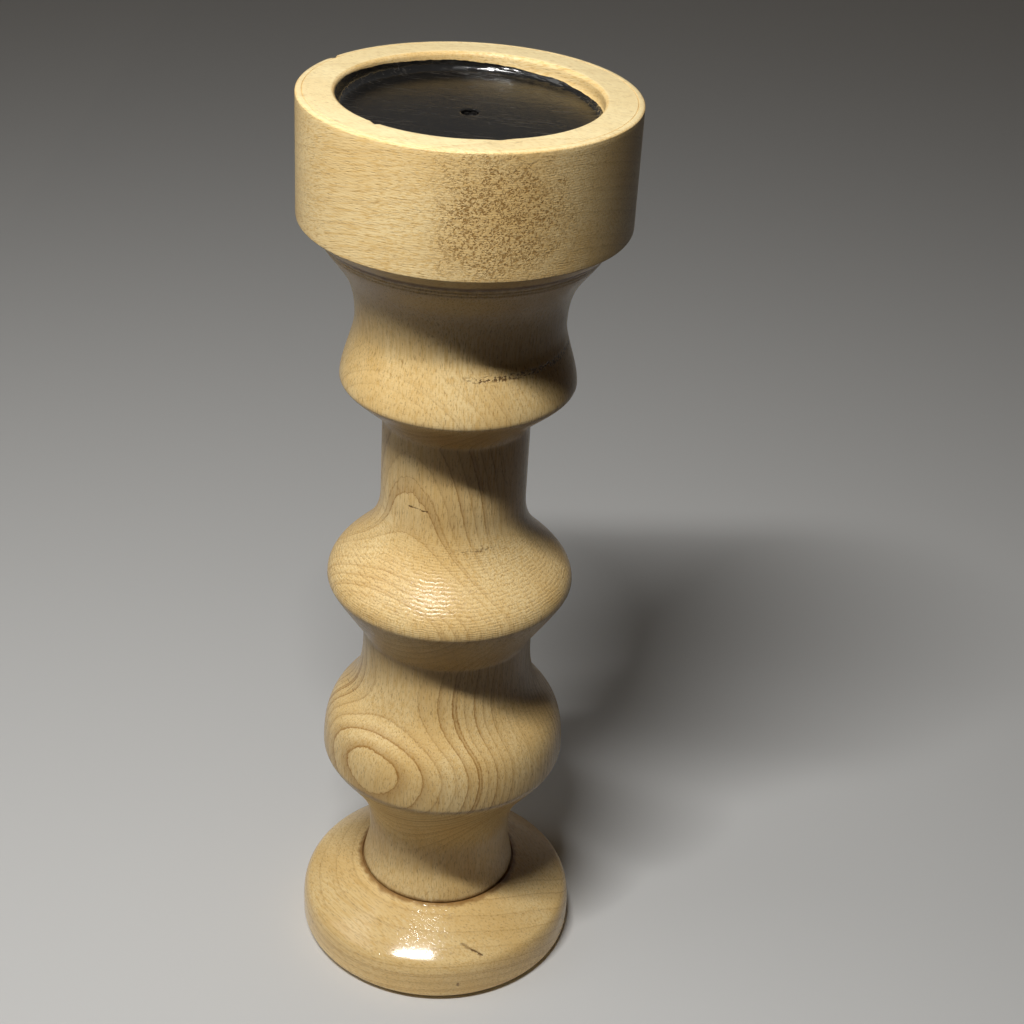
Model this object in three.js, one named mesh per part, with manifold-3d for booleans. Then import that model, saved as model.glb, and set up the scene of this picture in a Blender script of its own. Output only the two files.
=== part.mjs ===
// A turned beech candle holder: a foot, a stem and a cup, each turned on a lathe.
// The stem's two tenons enter sockets in the foot and the cup, and a sunk wood screw draws each joint tight.
// Millimetres, +Z up, the origin at the middle of the underside.
import * as THREE from 'three';
import { mergeVertices } from 'three/addons/utils/BufferGeometryUtils.js';
import Module from 'manifold-3d';

const wasm = await Module();
wasm.setup();

// Whole height: the stem takes up what the foot and the cup leave
const holderHeight = 305;

// Foot, from the floor up
const footRadius = 47.7;
const footEdgeInset = 7;
const footEdgeRise = 3.2;
const footSideRise = 4.4;
const footShoulderInset = 3.7;
const footShoulderRise = 8.7;
const footShoulderBow = 0.6;
const footDomeRise = 9.3;
const domeSlopeOutside = 0.68;
const domeSlopeInside = 0.46;
const creaseWidth = 0.35;
const creaseLip = 0.35;
const creaseDepth = 0.6;
const footWeb = 7.5;

// Stem, from its seat on the foot up: the rises are drawn out together to the stem's length
const baseRadius = 26.4;
const baseEase = 0.6;
const flareRise = 13.7;
const lowNeckRadius = 24.4;
const lowNeckRise = 4.5;
const lowUndersideRise = 34.9;
const lowBeadRadius = 40.7;
const lowBeadRise = 42.1;
const grooveRadius = 27.8;
const grooveRise = 3.9;
const middleUndersideRise = 20.7;
const middleBeadRadius = 39.8;
const middleBeadRise = 30.5;
const upperNeckRadius = 23.1;
const upperNeckRise = 26.6;
const topUndersideRise = 14.5;
const topBeadRadius = 36.4;
const topBeadRise = 19.7;
const hollowRadius = 32;
const hollowRise = 27.9;
const lipRadius = 43.8;

// How far each curve of the stem runs on upright at its lower and its upper end, as shares of its rise
const flareShares = [0.2, 0.45];
const lowUndersideShares = [0.5, 0.15];
const lowBeadShares = [0.58, 0.66];
const middleUndersideShares = [0.1, 0.11];
const middleBeadShares = [0.31, 0.58];
const topUndersideShares = [0.24, 0.13];
const topBeadShares = [0.25, 0.28];
const hollowShare = 0.6;

// How the hollow meets the cup: the slope in degrees and how far the curve keeps to it
const lipSlope = 65;
const lipReach = 10;

// Cup, from its seat on the stem up
const cupRadius = 49.4;
const cupHeight = 41;
const cupSeatMargin = 0.4;
const cupUnderRise = 3.9;
const cupEdge = 0.8;
const rimEaseWidth = 1.6;
const rimEaseDrop = 0.6;
const mouthEdge = 1.4;
const recessRadius = 38.2;
const recessDepth = 6;
const recessFillet = 3;
const cupWeb = 16;

// Tenons and screws
const tenonRadius = 13;
const tenonChamfer = 1;
const jointGap = 0.3;
const screwLength = 45;
const screwRadius = 1.5;
const screwCoreRadius = 1.05;
const screwPlainLength = 15;
const screwTipLength = 5;
const threadPitch = 2;
const headRadius = 3;
const headHeight = 2.4;
const headSideHeight = 1.2;
const headSink = 1.8;
const driveSlotLength = 3.6;
const driveSlotWidth = 0.8;
const driveSlotDepth = 1.2;
const pilotSpare = 1;

// Mesh fineness
const turnSegments = 40;
const curveSteps = 7;
const screwSegments = 24;
const rowsPerPitch = 4;

// Heights and fits that follow from the sizes above
const footHeight = footEdgeRise + footSideRise + footShoulderRise + footDomeRise - creaseDepth;
const stemLength = holderHeight - footHeight - cupHeight;
const risesTogether = flareRise + lowNeckRise
  + lowUndersideRise + lowBeadRise + grooveRise
  + middleUndersideRise + middleBeadRise + upperNeckRise
  + topUndersideRise + topBeadRise + hollowRise;
const stretch = stemLength / risesTogether;
const cupSeat = footHeight + stemLength;
const recessFloor = cupHeight - recessDepth;
const headWellRadius = headRadius + jointGap;
const headWellDepth = headHeight + headSink;
const screwHoleRadius = screwRadius + jointGap;
const socketRadius = tenonRadius + jointGap;
const footSocketFloor = headWellDepth + footWeb;
const footTenonLength = footHeight - footSocketFloor - jointGap;
const cupSocketDepth = recessFloor - headWellDepth - cupWeb;
const cupTenonLength = cupSocketDepth - jointGap;
const footPilotDepth = screwLength - footWeb - jointGap + pilotSpare;
const cupPilotDepth = screwLength - cupWeb - jointGap + pilotSpare;

// A profile is drawn as radius and height, outwards along the bottom, up the outside and back in along the top.
class Profile extends THREE.Path {
  // A smooth run to a new radius that starts and ends upright.
  swell(radius, rise, [startShare, endShare]) {
    const { x, y } = this.currentPoint;
    this.bezierCurveTo(x, y + startShare * rise, radius, y + (1 - endShare) * rise, radius, y + rise);
  }

  // A quarter turn that leaves upright and arrives level, or leaves level and arrives upright.
  quarter(radius, height, leavesUpright) {
    const { x, y } = this.currentPoint;
    const bow = 0.5523;
    const dx = (radius - x) * bow;
    const dy = (height - y) * bow;
    if (leavesUpright) this.bezierCurveTo(x, y + dy, radius - dx, height, radius, height);
    else this.bezierCurveTo(x + dx, y, radius, height - dy, radius, height);
  }

  // An upright run.
  straight(rise) {
    this.lineTo(this.currentPoint.x, this.currentPoint.y + rise);
  }

  // Straight runs through the points given.
  through(...points) {
    for (const [radius, height] of points) this.lineTo(radius, height);
  }
}

// A profile that starts at this radius and height.
function profileFrom(radius, height) {
  return new Profile().moveTo(radius, height);
}

// Turns a profile about the Z axis.
function turned(profile) {
  return new THREE.LatheGeometry(profile.getPoints(curveSteps), turnSegments).rotateX(Math.PI / 2);
}

// A geometry as a solid that can be joined and cut.
function solidOf(geometry) {
  const bare = geometry.clone();
  bare.deleteAttribute('normal');
  bare.deleteAttribute('uv');
  const merged = mergeVertices(bare);
  return new wasm.Manifold(new wasm.Mesh({
    numProp: 3,
    vertProperties: merged.attributes.position.array,
    triVerts: new Uint32Array(merged.index.array),
  }));
}

// A solid as a geometry with flat faces.
function geometryOf(solid) {
  const mesh = solid.getMesh();
  const indexed = new THREE.BufferGeometry();
  indexed.setAttribute('position', new THREE.BufferAttribute(mesh.vertProperties, 3));
  indexed.setIndex(new THREE.BufferAttribute(mesh.triVerts, 1));
  const flat = indexed.toNonIndexed();
  flat.computeVertexNormals();
  return flat;
}

// The foot: a disc with an eased lower edge and a domed top, a socket above and a well for the screw head below.
function footGeometry() {
  const sideTop = footEdgeRise + footSideRise;
  const shoulderRadius = footRadius - footShoulderInset;
  const shoulderHeight = sideTop + footShoulderRise;
  const creaseRadius = baseRadius + creaseWidth;
  const domeRadius = creaseRadius + creaseLip;
  const domeHeight = footHeight + creaseDepth;
  const shoulderReach = footShoulderBow * footShoulderInset;
  const domeReach = (shoulderRadius - domeRadius) / 3;
  const profile = profileFrom(headWellRadius, 0);
  profile.lineTo(footRadius - footEdgeInset, 0);
  profile.quarter(footRadius, footEdgeRise, false);
  profile.lineTo(footRadius, sideTop);
  profile.bezierCurveTo(
    footRadius, sideTop + footShoulderBow * footShoulderRise,
    shoulderRadius + shoulderReach, shoulderHeight - shoulderReach * domeSlopeOutside,
    shoulderRadius, shoulderHeight,
  );
  profile.bezierCurveTo(
    shoulderRadius - domeReach, shoulderHeight + domeReach * domeSlopeOutside,
    domeRadius + domeReach, domeHeight - domeReach * domeSlopeInside,
    domeRadius, domeHeight,
  );
  profile.quarter(creaseRadius, footHeight, false);
  profile.through(
    [socketRadius, footHeight],
    [socketRadius, footSocketFloor],
    [screwHoleRadius, footSocketFloor],
    [screwHoleRadius, headWellDepth],
    [headWellRadius, headWellDepth],
    [headWellRadius, 0],
  );
  return turned(profile);
}

// The stem: a spindle with a tenon and a screw pilot at each end. Its height 0 is its seat on the foot.
function stemGeometry() {
  const tenonTop = stemLength + cupTenonLength;
  const lipAngle = THREE.MathUtils.degToRad(lipSlope);
  const profile = profileFrom(0, footPilotDepth - footTenonLength);
  profile.through(
    [screwHoleRadius, footPilotDepth - footTenonLength],
    [screwHoleRadius, -footTenonLength],
    [tenonRadius - tenonChamfer, -footTenonLength],
    [tenonRadius, tenonChamfer - footTenonLength],
    [tenonRadius, 0],
    [baseRadius - baseEase, 0],
    [baseRadius, baseEase],
  );
  profile.swell(lowNeckRadius, stretch * flareRise - baseEase, flareShares);
  profile.straight(stretch * lowNeckRise);
  profile.swell(lowBeadRadius, stretch * lowUndersideRise, lowUndersideShares);
  profile.swell(grooveRadius, stretch * lowBeadRise, lowBeadShares);
  profile.straight(stretch * grooveRise);
  profile.swell(middleBeadRadius, stretch * middleUndersideRise, middleUndersideShares);
  profile.swell(upperNeckRadius, stretch * middleBeadRise, middleBeadShares);
  profile.straight(stretch * upperNeckRise);
  profile.swell(topBeadRadius, stretch * topUndersideRise, topUndersideShares);
  profile.swell(hollowRadius, stretch * topBeadRise, topBeadShares);
  profile.bezierCurveTo(
    hollowRadius, stemLength - (1 - hollowShare) * stretch * hollowRise,
    lipRadius - lipReach * Math.cos(lipAngle), stemLength - lipReach * Math.sin(lipAngle),
    lipRadius, stemLength,
  );
  profile.through(
    [tenonRadius, stemLength],
    [tenonRadius, tenonTop - tenonChamfer],
    [tenonRadius - tenonChamfer, tenonTop],
    [screwHoleRadius, tenonTop],
    [screwHoleRadius, tenonTop - cupPilotDepth],
    [0, tenonTop - cupPilotDepth],
  );
  return turned(profile);
}

// The cup: a disc with a socket below, a candle recess above and a well for the screw head in the recess floor.
function cupGeometry() {
  const wellFloor = recessFloor - headWellDepth;
  const profile = profileFrom(screwHoleRadius, cupSocketDepth);
  profile.through(
    [socketRadius, cupSocketDepth],
    [socketRadius, 0],
    [lipRadius + cupSeatMargin, 0],
    [cupRadius - cupEdge, cupUnderRise],
  );
  profile.quarter(cupRadius, cupUnderRise + cupEdge, false);
  profile.lineTo(cupRadius, cupHeight - rimEaseDrop);
  profile.quarter(cupRadius - rimEaseWidth, cupHeight, true);
  profile.lineTo(recessRadius + mouthEdge, cupHeight);
  profile.quarter(recessRadius, cupHeight - mouthEdge, false);
  profile.lineTo(recessRadius, recessFloor + recessFillet);
  profile.quarter(recessRadius - recessFillet, recessFloor, true);
  profile.through(
    [headWellRadius, recessFloor],
    [headWellRadius, wellFloor],
    [screwHoleRadius, wellFloor],
    [screwHoleRadius, cupSocketDepth],
  );
  return turned(profile);
}

// A wood screw, head up, with height 0 under its head: a plain shank, a helical thread and a cross slot.
function screwGeometry() {
  const threadEnd = -screwPlainLength;
  const rowHeight = threadPitch / rowsPerPitch;
  const rows = Math.floor((screwLength - screwPlainLength) / rowHeight);
  const profile = profileFrom(0, -screwLength);
  for (let row = 1; row < rows; row += 1) profile.lineTo(screwCoreRadius, row * rowHeight - screwLength);
  profile.through([screwRadius, threadEnd], [screwRadius, 0], [headRadius, 0], [headRadius, headSideHeight]);
  profile.quarter(0, headHeight, true);
  const body = new THREE.LatheGeometry(profile.getPoints(curveSteps), screwSegments).rotateX(Math.PI / 2);

  // The thread swells out of the core as a ridge that climbs one pitch in each turn, and both taper at the tip.
  const { position } = body.attributes;
  const point = new THREE.Vector3();
  for (let i = 0; i < position.count; i += 1) {
    point.fromBufferAttribute(position, i);
    const radius = Math.hypot(point.x, point.y);
    if (radius > 0 && point.z < threadEnd - rowHeight / 2) {
      const turns = (point.z + screwLength) / threadPitch - Math.atan2(point.y, point.x) / (2 * Math.PI);
      const ridge = 1 - Math.abs(2 * (turns - Math.floor(turns)) - 1);
      const taper = Math.min(1, (point.z + screwLength) / screwTipLength);
      const grown = taper * (screwCoreRadius + ridge * (screwRadius - screwCoreRadius));
      position.setXY(i, point.x * grown / radius, point.y * grown / radius);
    }
  }

  const slot = new THREE.BoxGeometry(driveSlotLength, driveSlotWidth, 2 * driveSlotDepth);
  const cross = slot.clone().rotateZ(Math.PI / 2);
  const drive = solidOf(slot.translate(0, 0, headHeight)).add(solidOf(cross.translate(0, 0, headHeight)));
  return geometryOf(solidOf(body).subtract(drive));
}

const beech = { color: 0xd8b47c, roughness: 0.38, metalness: 0 };
const steel = { color: 0x4a4844, roughness: 0.35, metalness: 1 };

// A named sub-part with its own material, standing at this height on the axis.
function subPart(name, geometry, finish, height) {
  const mesh = new THREE.Mesh(geometry, new THREE.MeshStandardMaterial(finish));
  mesh.name = name;
  mesh.position.z = height;
  return mesh;
}

const candleHolder = new THREE.Group();
candleHolder.add(subPart('foot', footGeometry(), beech, 0));
candleHolder.add(subPart('stem', stemGeometry(), beech, footHeight));
candleHolder.add(subPart('cup', cupGeometry(), beech, cupSeat));
candleHolder.add(subPart('cup_screw', screwGeometry(), steel, cupSeat + recessFloor - headWellDepth));
const footScrew = subPart('foot_screw', screwGeometry(), steel, headWellDepth);
footScrew.rotation.x = Math.PI;
candleHolder.add(footScrew);

export default candleHolder;
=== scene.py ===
import math
import bmesh
import bpy
from mathutils import Matrix, Vector, noise
from mathutils.geometry import interpolate_bezier


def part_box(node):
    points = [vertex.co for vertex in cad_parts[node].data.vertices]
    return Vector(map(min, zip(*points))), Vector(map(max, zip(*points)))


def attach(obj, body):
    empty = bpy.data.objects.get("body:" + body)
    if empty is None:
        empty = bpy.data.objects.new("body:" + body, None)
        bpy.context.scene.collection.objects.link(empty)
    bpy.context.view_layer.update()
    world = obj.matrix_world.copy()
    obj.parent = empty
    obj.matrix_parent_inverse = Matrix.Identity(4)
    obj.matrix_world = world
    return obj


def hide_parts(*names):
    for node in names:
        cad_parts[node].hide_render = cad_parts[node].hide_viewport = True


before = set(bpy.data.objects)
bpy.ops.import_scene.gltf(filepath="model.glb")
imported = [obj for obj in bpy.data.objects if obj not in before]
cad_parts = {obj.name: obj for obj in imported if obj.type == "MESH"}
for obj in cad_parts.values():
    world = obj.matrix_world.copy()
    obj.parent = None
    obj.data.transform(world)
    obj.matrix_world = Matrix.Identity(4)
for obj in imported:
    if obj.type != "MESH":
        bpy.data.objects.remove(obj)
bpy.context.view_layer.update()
mm = 0.001
scene = bpy.context.scene
scene.view_settings.view_transform = "Standard"
print("frame loaded:", sorted(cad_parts))

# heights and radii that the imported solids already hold, in millimetres
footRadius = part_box("foot")[1].x / mm
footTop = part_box("foot")[1].z / mm
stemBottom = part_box("stem")[0].z / mm
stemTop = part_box("stem")[1].z / mm
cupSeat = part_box("cup")[0].z / mm
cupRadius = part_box("cup")[1].x / mm
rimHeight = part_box("cup")[1].z / mm


# camera, at the photograph's view
cameraSet = {
    "place": (0.0, -0.5090, 0.4691),
    "pitch": 30.574,  # degrees down
    "turn": 2.14,  # degrees to the right
    "roll": 3.587,
    "lens": 65.02,
    "sensor": 36.0,
}


def addCamera(look):
    data = bpy.data.cameras.new("camera")
    data.lens = look["lens"]
    data.sensor_width = look["sensor"]
    data.clip_start = 0.01
    camera = bpy.data.objects.new("camera", data)
    scene.collection.objects.link(camera)
    turn = Matrix.Rotation(math.radians(-look["turn"]), 4, "Z")
    tip = Matrix.Rotation(math.radians(90 - look["pitch"]), 4, "X")
    roll = Matrix.Rotation(math.radians(look["roll"]), 4, "Z")
    camera.matrix_world = Matrix.Translation(look["place"]) @ turn @ tip @ roll
    scene.camera = camera


addCamera(cameraSet)
print("camera placed")


# small helpers for shader nodes
def put(tree, socket, value):
    if isinstance(value, bpy.types.NodeSocket):
        tree.links.new(value, socket)
    else:
        socket.default_value = value


def mathNode(tree, operation, *values):
    node = tree.nodes.new("ShaderNodeMath")
    node.operation = operation
    for socket, value in zip(node.inputs, values):
        put(tree, socket, value)
    return node.outputs[0]


def vectorNode(tree, operation, *values):
    node = tree.nodes.new("ShaderNodeVectorMath")
    node.operation = operation
    for socket, value in zip(node.inputs, values):
        put(tree, socket, value)
    return node.outputs["Value" if operation in ("LENGTH", "DOT_PRODUCT", "DISTANCE") else "Vector"]


def stretchNode(tree, vector, scale):
    return vectorNode(tree, "MULTIPLY", vector, scale)


# the same vector with its height taken out
def flatNode(tree, vector):
    return vectorNode(tree, "MULTIPLY", vector, (1.0, 1.0, 0.0))


def partsNode(tree, vector):
    node = tree.nodes.new("ShaderNodeSeparateXYZ")
    tree.links.new(vector, node.inputs[0])
    return node.outputs


def noiseNode(tree, vector, scale, detail=2.0, roughness=0.5, output="Fac"):
    node = tree.nodes.new("ShaderNodeTexNoise")
    put(tree, node.inputs["Vector"], vector)
    node.inputs["Scale"].default_value = scale
    node.inputs["Detail"].default_value = detail
    node.inputs["Roughness"].default_value = roughness
    return node.outputs[output]


# noise added to a value, so that it swings to both sides of it
def swingNode(tree, wave, amount, value):
    return mathNode(tree, "MULTIPLY_ADD", mathNode(tree, "SUBTRACT", wave, 0.5), amount, value)


def lotNode(tree, number):
    node = tree.nodes.new("ShaderNodeTexWhiteNoise")
    node.noise_dimensions = "1D"
    tree.links.new(number, node.inputs["W"])
    return node.outputs["Value"]


# distance from the nearest of a scatter of cell centres, and a lot drawn for each cell
def cellNode(tree, vector):
    node = tree.nodes.new("ShaderNodeTexVoronoi")
    tree.links.new(vector, node.inputs["Vector"])
    node.inputs["Scale"].default_value = 1.0
    return node.outputs["Distance"], node.outputs["Color"]


def spanNode(tree, value, low, high, toLow=0.0, toHigh=1.0):
    node = tree.nodes.new("ShaderNodeMapRange")
    node.interpolation_type = "SMOOTHSTEP"
    for socket, number in zip(node.inputs, (value, low, high, toLow, toHigh)):
        put(tree, socket, number)
    return node.outputs[0]


def rampNode(tree, value, stops):
    node = tree.nodes.new("ShaderNodeValToRGB")
    put(tree, node.inputs[0], value)
    ramp = node.color_ramp
    while len(ramp.elements) < len(stops):
        ramp.elements.new(0.5)
    for element, (place, level) in zip(ramp.elements, stops):
        element.position = place
        element.color = (level, level, level, 1.0)
    return node.outputs[0]


def mixNode(tree, factor, first, second):
    node = tree.nodes.new("ShaderNodeMix")
    node.data_type = "RGBA"
    put(tree, node.inputs[0], factor)
    put(tree, node.inputs[6], first)
    put(tree, node.inputs[7], second)
    return node.outputs[2]


# relief in a shader's normal, with its distance in millimetres
def addRelief(tree, shader, height, strength, distance):
    node = tree.nodes.new("ShaderNodeBump")
    node.inputs["Strength"].default_value = strength
    node.inputs["Distance"].default_value = distance * mm
    tree.links.new(height, node.inputs["Height"])
    tree.links.new(node.outputs[0], shader.inputs["Normal"])


# a piece's own place in millimetres, and the normal there
def piecePlace(tree):
    coordinates = tree.nodes.new("ShaderNodeTexCoord")
    millimetres = stretchNode(tree, coordinates.outputs["Object"], (1 / mm, 1 / mm, 1 / mm))
    return millimetres, coordinates.outputs["Normal"]


def newMaterial(name):
    material = bpy.data.materials.new(name)
    material.use_nodes = True
    tree = material.node_tree
    return material, tree, tree.nodes["Principled BSDF"]


def newGroup(name, inputs, outputs):
    group = bpy.data.node_groups.new(name, "ShaderNodeTree")
    for label, kind in inputs:
        group.interface.new_socket(name=label, in_out="INPUT", socket_type="NodeSocket" + kind)
    for label, kind in outputs:
        group.interface.new_socket(name=label, in_out="OUTPUT", socket_type="NodeSocket" + kind)
    given = group.nodes.new("NodeGroupInput").outputs
    result = group.nodes.new("NodeGroupOutput").inputs
    return group, given, result


def placeGroup(tree, group, **values):
    node = tree.nodes.new("ShaderNodeGroup")
    node.node_tree = group
    for label, value in values.items():
        put(tree, node.inputs[label], value)
    return node.outputs


# growth rings, pores and fibres of beech: X runs along the grain and Y across the rings
def beechGrainGroup():
    group, given, result = newGroup(
        "beechGrain",
        [("Place", "Vector"), ("Slant", "Float"), ("Spacing", "Float"), ("Start", "Float"),
         ("Bow", "Float"), ("Pith", "Float"), ("Seed", "Float"), ("PoreStretch", "Vector"),
         ("TornStretch", "Vector")],
        [("Rings", "Float"), ("Late", "Float"), ("Pores", "Float"), ("Torn", "Float"), ("Fibres", "Float"),
         ("Tone", "Float")],
    )
    place = given["Place"]
    along, across, aside = partsNode(group, place)

    # distance from the pith, bent along the grain and wandering a little
    fromPith = mathNode(group, "ADD", across, given["Pith"])
    squares = mathNode(group, "POWER", fromPith, 2.0)
    squares = mathNode(group, "ADD", squares, mathNode(group, "POWER", aside, 2.0))
    distance = mathNode(group, "SUBTRACT", mathNode(group, "SQRT", squares), given["Pith"])
    bend = mathNode(group, "MULTIPLY", mathNode(group, "POWER", along, 2.0), given["Bow"])
    depth = mathNode(group, "SUBTRACT", distance, bend)
    wander = noiseNode(group, stretchNode(group, place, (0.02, 0.045, 0.045)), 1.0, 2.0)
    depth = swingNode(group, wander, 1.3, depth)
    shake = noiseNode(group, stretchNode(group, place, (0.35, 0.8, 0.8)), 1.0, 3.0, 0.6)
    depth = swingNode(group, shake, 0.5, depth)
    years = mathNode(group, "DIVIDE", mathNode(group, "SUBTRACT", depth, given["Start"]), given["Spacing"])

    # each year darkens slowly and ends in a thin line, as wide on any slant of the cut
    share = mathNode(group, "FRACT", years)
    number = mathNode(group, "ADD", mathNode(group, "FLOOR", years), given["Seed"])
    strong = spanNode(group, lotNode(group, number), 0.05, 0.85, 0.18, 1.0)
    width = mathNode(group, "MULTIPLY_ADD", given["Slant"], 0.5, 0.05)
    untilEnd = mathNode(group, "MULTIPLY", mathNode(group, "SUBTRACT", 1.0, share), given["Spacing"])
    line = spanNode(group, mathNode(group, "DIVIDE", untilEnd, width), 1.0, 0.25)
    untilSecond = mathNode(group, "ABSOLUTE", mathNode(group, "SUBTRACT", untilEnd, 0.9))
    second = spanNode(group, mathNode(group, "DIVIDE", untilSecond, width), 0.7, 0.2)
    chosen = spanNode(group, lotNode(group, mathNode(group, "ADD", number, 0.5)), 0.6, 0.85, 0.0, 0.8)
    broken = noiseNode(group, stretchNode(group, place, (0.8, 2.0, 2.0)), 1.0, 3.0, 0.65)
    whole = spanNode(group, broken, 0.36, 0.56, 0.2, 1.0)
    line = mathNode(group, "MULTIPLY", line, strong)
    second = mathNode(group, "MULTIPLY", second, chosen)
    lines = mathNode(group, "MAXIMUM", line, second)
    group.links.new(mathNode(group, "MULTIPLY", lines, whole), result["Rings"])
    late = rampNode(group, share, [(0.0, 0.35), (0.06, 0.0), (0.45, 0.05), (0.9, 0.8), (1.0, 1.0)])
    group.links.new(mathNode(group, "MULTIPLY", late, strong), result["Late"])

    # pores are hair lines along the rings, and torn wood is a scatter of pits
    pores = noiseNode(group, stretchNode(group, place, given["PoreStretch"]), 1.0, 2.0, 0.6)
    group.links.new(spanNode(group, pores, 0.53, 0.7), result["Pores"])
    warp = stretchNode(group, noiseNode(group, place, 0.9, 3.0, 0.7, "Color"), (3.0, 3.0, 3.0))
    pitPlace = vectorNode(group, "ADD", stretchNode(group, place, given["TornStretch"]), warp)
    fromPit, pitLot = cellNode(group, pitPlace)
    pitSize = spanNode(group, pitLot, 0.2, 0.8, 0.3, 0.8)
    group.links.new(spanNode(group, mathNode(group, "DIVIDE", fromPit, pitSize), 1.0, 0.5), result["Torn"])
    fibres = noiseNode(group, stretchNode(group, place, (0.09, 1.7, 1.7)), 1.0, 4.0, 0.65)
    group.links.new(fibres, result["Fibres"])
    tone = noiseNode(group, stretchNode(group, place, (0.014, 0.06, 0.06)), 1.0, 2.0)
    group.links.new(tone, result["Tone"])
    return group


# fine wavy rows left by the turning tool, broken on the way round the axis
def turningGroup():
    group, given, result = newGroup(
        "turningMarks",
        [("Place", "Vector"), ("Spacing", "Float")],
        [("Dashes", "Float"), ("Ridges", "Float")],
    )
    flat = flatNode(group, given["Place"])
    radius = vectorNode(group, "LENGTH", flat)
    heading = vectorNode(group, "NORMALIZE", flat)
    height = partsNode(group, given["Place"])[2]
    travel = mathNode(group, "MULTIPLY_ADD", radius, 0.35, height)
    rows = mathNode(group, "DIVIDE", travel, given["Spacing"])
    spot = group.nodes.new("ShaderNodeCombineXYZ")
    group.links.new(rows, spot.inputs[2])

    # the rows sway a little on their way round
    swayPlace = vectorNode(group, "MULTIPLY", spot.outputs[0], (0.0, 0.0, 0.14))
    swayPlace = vectorNode(group, "MULTIPLY_ADD", heading, (3.5, 3.5, 0.0), swayPlace)
    sway = noiseNode(group, swayPlace, 1.0, 2.0, 0.6)
    turns = mathNode(group, "MULTIPLY_ADD", sway, 1.8, rows)
    shakePlace = vectorNode(group, "MULTIPLY_ADD", heading, (14.0, 14.0, 0.0), swayPlace)
    turns = mathNode(group, "MULTIPLY_ADD", noiseNode(group, shakePlace, 1.0, 2.0, 0.6), 1.1, turns)
    wave = mathNode(group, "SINE", mathNode(group, "MULTIPLY", turns, 2 * math.pi))
    breakPlace = vectorNode(group, "MULTIPLY_ADD", heading, (22.0, 22.0, 0.0), spot.outputs[0])
    pieces = spanNode(group, noiseNode(group, breakPlace, 0.8, 3.0, 0.6), 0.4, 0.58)
    dashes = mathNode(group, "MULTIPLY", spanNode(group, wave, 0.5, 1.0), pieces)
    ridges = mathNode(group, "MULTIPLY", wave, spanNode(group, pieces, 0.0, 1.0, 0.2, 1.0))
    group.links.new(dashes, result["Dashes"])
    group.links.new(ridges, result["Ridges"])
    return group


# a short dark check or scratch between two points
def checkGroup():
    group, given, result = newGroup(
        "woodCheck",
        [("Place", "Vector"), ("From", "Vector"), ("To", "Vector"), ("Width", "Float")],
        [("Mask", "Float")],
    )
    run = vectorNode(group, "SUBTRACT", given["To"], given["From"])
    reach = vectorNode(group, "SUBTRACT", given["Place"], given["From"])
    share = vectorNode(group, "DOT_PRODUCT", reach, run)
    share = mathNode(group, "DIVIDE", share, vectorNode(group, "DOT_PRODUCT", run, run))
    clamped = mathNode(group, "MINIMUM", mathNode(group, "MAXIMUM", share, 0.0), 1.0)
    spot = group.nodes.new("ShaderNodeVectorMath")
    spot.operation = "SCALE"
    group.links.new(run, spot.inputs[0])
    group.links.new(clamped, spot.inputs["Scale"])
    away = vectorNode(group, "DISTANCE", reach, spot.outputs[0])
    ragged = noiseNode(group, given["Place"], 1.1, 3.0)
    edge = mathNode(group, "MULTIPLY", given["Width"], spanNode(group, ragged, 0.3, 0.7, 0.4, 1.5))
    group.links.new(spanNode(group, mathNode(group, "DIVIDE", away, edge), 1.0, 0.35), result["Mask"])
    return group


# a broken line torn round the wood at one height, over part of the way round
def tornRingGroup():
    group, given, result = newGroup(
        "tornRing",
        [("Place", "Vector"), ("Height", "Float"), ("Width", "Float"), ("Facing", "Vector"),
         ("Reach", "Float")],
        [("Mask", "Float")],
    )
    heading = vectorNode(group, "NORMALIZE", flatNode(group, given["Place"]))
    waver = noiseNode(group, stretchNode(group, heading, (9.0, 9.0, 9.0)), 1.0, 3.0)
    height = swingNode(group, waver, 1.6, partsNode(group, given["Place"])[2])
    away = mathNode(group, "ABSOLUTE", mathNode(group, "SUBTRACT", height, given["Height"]))
    line = spanNode(group, mathNode(group, "DIVIDE", away, given["Width"]), 1.0, 0.3)
    facing = vectorNode(group, "DOT_PRODUCT", heading, given["Facing"])
    inside = spanNode(group, mathNode(group, "SUBTRACT", facing, given["Reach"]), 0.0, 0.12)
    pieces = noiseNode(group, stretchNode(group, given["Place"], (1.2, 1.2, 1.5)), 1.0, 2.0)
    torn = mathNode(group, "MULTIPLY", line, spanNode(group, pieces, 0.45, 0.6))
    group.links.new(mathNode(group, "MULTIPLY", torn, inside), result["Mask"])
    return group


# dirt and thick lacquer in the corner where two pieces meet, and painted shade there: the mask darkens the
# crease and the band under the cup where shade falls
def stainAndShadeGroup():
    group, given, result = newGroup(
        "jointStainAndShade",
        [("Place", "Vector"), ("Radius", "Float"), ("Height", "Float"), ("Reach", "Float")],
        [("Mask", "Float")],
    )
    radius = vectorNode(group, "LENGTH", flatNode(group, given["Place"]))
    height = partsNode(group, given["Place"])[2]
    out = mathNode(group, "POWER", mathNode(group, "SUBTRACT", radius, given["Radius"]), 2.0)
    up = mathNode(group, "POWER", mathNode(group, "SUBTRACT", height, given["Height"]), 2.0)
    away = mathNode(group, "SQRT", mathNode(group, "ADD", out, up))
    away = mathNode(group, "DIVIDE", away, given["Reach"])
    patchy = noiseNode(group, given["Place"], 0.35, 3.0)
    away = swingNode(group, patchy, 1.2, away)
    group.links.new(spanNode(group, away, 1.0, 0.2), result["Mask"])
    return group


beechGrain = beechGrainGroup()
turningMarks = turningGroup()
woodCheck = checkGroup()
tornRing = tornRingGroup()
jointStainAndShade = stainAndShadeGroup()

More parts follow.
